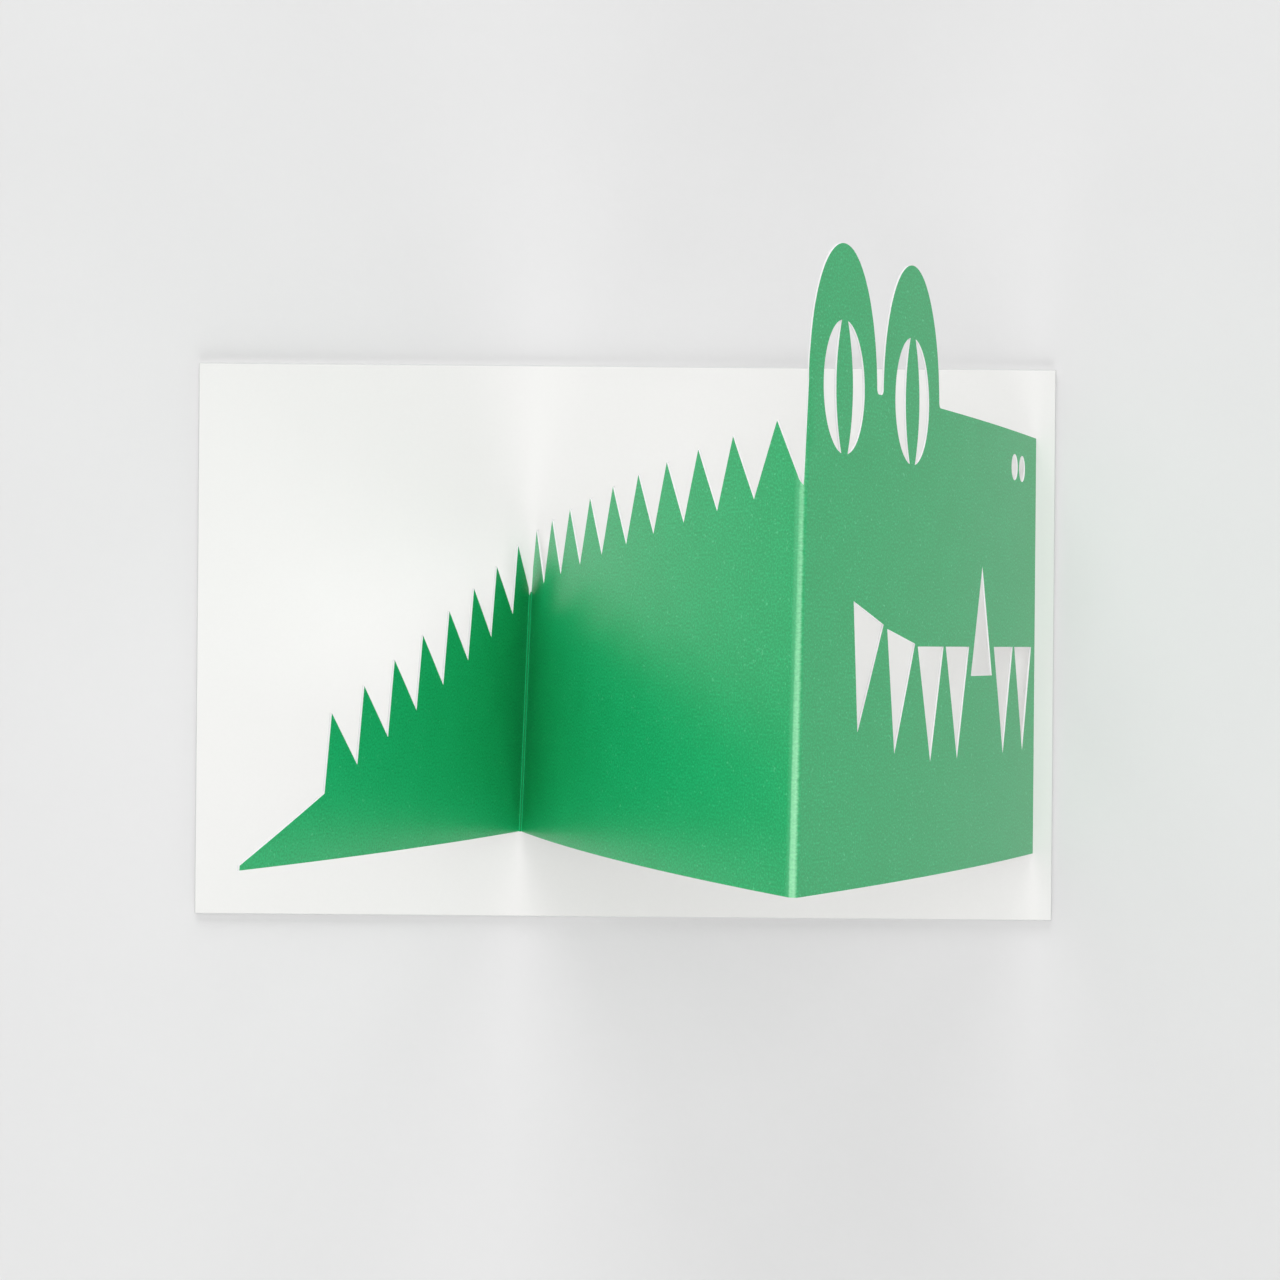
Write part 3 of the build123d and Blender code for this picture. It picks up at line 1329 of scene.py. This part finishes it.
def with_columns(loop: np.ndarray, columns: np.ndarray) -> np.ndarray:
    """An outline with extra points where it crosses the columns.

    Args:
        loop: The closed outline.
        columns: Distances along the strip.

    Returns:
        The outline with those points.
    """
    rows = []
    for start, end in zip(loop, np.roll(loop, -1, axis=0)):
        rows.append(start)
        low, high = sorted((start[0], end[0]))
        crossed = [column for column in columns if low + ON_COLUMN < column < high - ON_COLUMN]
        for column in sorted(crossed, reverse=bool(start[0] > end[0])):
            share = (column - start[0]) / (end[0] - start[0])
            rows.append(start + (end - start) * share)
    return np.array(rows)


def thinned_row(places: np.ndarray, least: float) -> np.ndarray:
    """A rising row of places without those that lie too near the one before."""
    kept = [places[0]]
    for place in places[1:]:
        if place - kept[-1] > least:
            kept.append(place)
    return np.array(kept)


def thinned(loop: np.ndarray) -> np.ndarray:
    """A closed outline without points that lie on top of the one before."""
    kept = [loop[0]]
    for point in loop[1:]:
        if np.linalg.norm(point - kept[-1]) > SAME_PLACE:
            kept.append(point)
    if np.linalg.norm(kept[-1] - kept[0]) <= SAME_PLACE:
        kept.pop()
    return np.array(kept)


def drawn_in(loop: np.ndarray, inset: float, outer: bool, least_cosine: float = 0.4) -> np.ndarray:
    """An outline moved a little into the card.

    Args:
        loop: The closed outline.
        inset: How far.
        outer: Whether it is the card's outer outline, and not a hole's.
        least_cosine: Keeps sharp corners from moving further than the inset divided by it.

    Returns:
        The outline, point for point.
    """
    before = loop - np.roll(loop, 1, axis=0)
    after = np.roll(loop, -1, axis=0) - loop
    before /= np.linalg.norm(before, axis=1)[:, None]
    after /= np.linalg.norm(after, axis=1)[:, None]
    side = 1.0 if turns_left(loop) == outer else -1.0
    sides = [np.stack([-way[:, 1], way[:, 0]], axis=1) * side for way in (before, after)]
    middle = sides[0] + sides[1]
    middle /= np.linalg.norm(middle, axis=1)[:, None]
    reach = inset / np.clip(np.sum(middle * sides[0], axis=1), least_cosine, 1.0)
    return loop + middle * reach[:, None]


def inside(points: np.ndarray, loops: list[np.ndarray]) -> np.ndarray:
    """Which points lie in the card.

    Args:
        points: Rows of points.
        loops: The outer outline and the holes.

    Returns:
        True for each point inside an odd number of outlines.
    """
    odd = np.zeros(len(points), bool)
    x, y = points[:, 0], points[:, 1]
    for loop in loops:
        for (x0, y0), (x1, y1) in zip(loop, np.roll(loop, -1, axis=0)):
            if y0 == y1:
                continue
            spans = (y0 > y) != (y1 > y)
            odd ^= spans & (x < (x1 - x0) * (y - y0) / (y1 - y0) + x0)
    return odd


def clear_of(points: np.ndarray, loops: list[np.ndarray], gap: float) -> np.ndarray:
    """Which points keep a gap from all outlines.

    Args:
        points: Rows of points.
        loops: The outlines.
        gap: The least distance.

    Returns:
        True for each such point.
    """
    good = np.ones(len(points), bool)
    for start, end in ((s, e) for loop in loops for s, e in zip(loop, np.roll(loop, -1, axis=0))):
        way = end - start
        share = np.clip((points - start) @ way / (way @ way), 0, 1)
        good &= np.linalg.norm(points - start - share[:, None] * way, axis=1) > gap
    return good


def filled(
    loops: list[np.ndarray], columns: np.ndarray, cell: float, edge_gap: float = 0.35
) -> tuple[np.ndarray, np.ndarray, list[np.ndarray]]:
    """Fills an outline with triangles of even size.

    Args:
        loops: The outer outline and the holes.
        columns: Distances along the strip that get lines of vertices.
        cell: The triangles' size.
        edge_gap: How far the vertices inside keep from the outlines.

    Returns:
        The vertices, the triangles, and the numbers of each outline's vertices.
    """
    low = loops[0].min(axis=0)
    high = loops[0].max(axis=0)
    plain = np.arange(low[0] + cell / 2, high[0], cell)
    plain = plain[np.abs(plain[:, None] - columns[None, :]).min(axis=1) > cell / 2]
    across = np.sort(np.concatenate([plain, columns]))
    up = np.arange(low[1] + cell / 2, high[1], cell)
    grid = np.stack(np.meshgrid(across, up, indexing="ij"), axis=-1).reshape(-1, 2)
    grid = grid[inside(grid, loops)]
    grid = grid[clear_of(grid, loops, edge_gap)]
    points = np.concatenate([*loops, grid])
    edges, rims, offset = [], [], 0
    for loop in loops:
        numbers = np.arange(len(loop)) + offset
        edges += list(zip(numbers.tolist(), np.roll(numbers, -1).tolist()))
        rims.append(numbers)
        offset += len(loop)
    edges += column_edges(points, columns)
    made = geometry.delaunay_2d_cdt([Vector(p) for p in points], edges, [], 0, 1e-7)
    vertices = np.array([[v.x, v.y] for v in made[0]])
    triangles = np.array([list(face) for face in made[2]])
    whose = np.full(len(points), -1)
    for number, sources in enumerate(made[3]):
        for source in sources:
            whose[source] = number
    rims = [whose[rim] for rim in rims]
    triangles = triangles[inside(vertices[triangles].mean(axis=1), [vertices[rim] for rim in rims])]
    used = np.zeros(len(vertices), bool)
    used[triangles.ravel()] = True
    renumbered = np.cumsum(used) - 1
    return vertices[used], renumbered[triangles], [renumbered[rim] for rim in rims]


def column_edges(points: np.ndarray, columns: np.ndarray, longest: float = 3.0) -> list[tuple[int, int]]:
    """Edges that keep triangles from crossing a fold's lines of vertices.

    Args:
        points: All the vertices.
        columns: Distances along the strip of those lines.
        longest: The longest edge, so that none spans a hole.

    Returns:
        Pairs of vertices that follow each other on a line.
    """
    edges = []
    for column in columns:
        on_it = np.nonzero(np.abs(points[:, 0] - column) < SAME_PLACE)[0]
        order = on_it[np.argsort(points[on_it, 1])]
        pairs = [(int(low), int(high)) for low, high in zip(order[:-1], order[1:])]
        edges += [(low, high) for low, high in pairs if points[high, 1] - points[low, 1] < longest]
    return edges


def tidy(mesh: bpy.types.Mesh) -> None:
    """Turns a card's faces outwards, smooths them and keeps its edges crisp."""
    bm = bmesh.new()
    bm.from_mesh(mesh)
    bmesh.ops.recalc_face_normals(bm, faces=bm.faces)
    for face in bm.faces:
        face.smooth = True
    for edge in bm.edges:
        if len({face.material_index for face in edge.link_faces}) > 1:
            edge.smooth = False
    bm.to_mesh(mesh)
    bm.free()


@dataclass
class BackingCard:
    """The flat white card underneath."""

    node: str = "backing_card"

    def dress(self) -> bpy.types.Object:
        """Gives the CAD node its board finish."""
        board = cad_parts[self.node]
        board.data.materials.clear()
        width, height, _ = board.dimensions
        finish = BoardFace(
            "white_board",
            white=0.862,
            fleck=0.846,
            warmth=0.02,
            fibre_size=0.7,
            relief=0.005,
            half_width=width / 2 / MM,
            half_height=height / 2 / MM,
        )
        board.data.materials.append(finish.material())
        return board


@dataclass(frozen=True)
class Lamp:
    """A large soft lamp that shines at the card. Metres and watts."""

    name: str
    place: tuple[float, float, float]
    size: tuple[float, float]
    power: float

    def build(self) -> None:
        """Adds the lamp to the scene."""
        light = bpy.data.lights.new(self.name, "AREA")
        light.shape = "RECTANGLE"
        light.size, light.size_y = self.size
        light.energy = self.power
        lamp = bpy.data.objects.new(self.name, light)
        lamp.location = self.place
        lamp.rotation_euler = Vector(self.place).to_track_quat("Z", "Y").to_euler()
        bpy.context.scene.collection.objects.link(lamp)


@dataclass
class Studio:
    """The pale floor, the soft light and the camera. Metres and degrees, and the lens in millimetres."""

    floor_size: float = 3.2
    floor_gap: float = 0.00002
    lamps: tuple[Lamp, ...] = (
        Lamp("upper_lamp", (-0.3, 1.5, 0.9), (1.6, 1.0), 14.0),
        Lamp("lower_lamp", (0.1, -1.6, 0.7), (1.6, 1.0), 14.0),
        Lamp("overhead_lamp", (0.0, 0.2, 2.0), (1.6, 1.6), 20.5),
    )
    horizon: float = 1.55
    camera_place: tuple[float, float, float] = (0.00305, 0.00037, 0.55524)
    camera_roll: float = 0.482
    lens: float = 50.0
    sensor: float = 24.0

    def build(self) -> None:
        """Sets up everything that isn't part of the card."""
        scene = bpy.context.scene
        scene.view_settings.view_transform = "Standard"
        self._floor()
        for lamp in self.lamps:
            lamp.build()
        self._world()
        self._camera()

    def _floor(self) -> None:
        """The floor, just under the backing card."""
        half = self.floor_size / 2
        mesh = bpy.data.meshes.new("studio_floor")
        corners = [(-half, -half, 0), (half, -half, 0), (half, half, 0), (-half, half, 0)]
        mesh.from_pydata(corners, [], [range(4)])
        mesh.materials.append(StudioFloor().material())
        floor = bpy.data.objects.new("studio_floor", mesh)
        floor.location.z = -self.floor_gap
        bpy.context.scene.collection.objects.link(floor)

    def _world(self) -> None:
        """Light from all round the horizon, which fades towards the zenith."""
        world = bpy.data.worlds.new("studio")
        world.use_nodes = True
        bpy.context.scene.world = world
        shader = Shader(world.node_tree)
        _, _, up = shader.parts(shader.add("ShaderNodeTexCoord").outputs["Generated"])
        low = 1 - up.most(0.0)
        background = shader.add(
            "ShaderNodeBackground", None, {"Color": grey(1.0), "Strength": low * low * self.horizon}
        )
        shader.add("ShaderNodeOutputWorld", None, {"Surface": background.outputs[0]})

    def _camera(self) -> None:
        """The camera, looking straight down."""
        data = bpy.data.cameras.new("camera")
        data.lens = self.lens
        data.sensor_width = self.sensor
        camera = bpy.data.objects.new("camera", data)
        camera.location = self.camera_place
        camera.rotation_euler = (0.0, 0.0, math.radians(self.camera_roll))
        bpy.context.scene.collection.objects.link(camera)
        bpy.context.scene.camera = camera


def main() -> None:
    """Builds the studio, the backing card and the crocodile."""
    logging.basicConfig(level=logging.INFO, format="%(name)s: %(message)s")
    Studio().build()
    log.info("studio is set up")
    board = BackingCard().dress()
    log.info("%s is dressed", board.name)
    crocodile = Crocodile()
    piece = crocodile.build()
    crocodile.dress(piece)
    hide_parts("crocodile")
    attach(piece, "root")
    log.info("%s has %d faces", piece.name, len(piece.data.polygons))


if __name__ == "__main__":
    main()
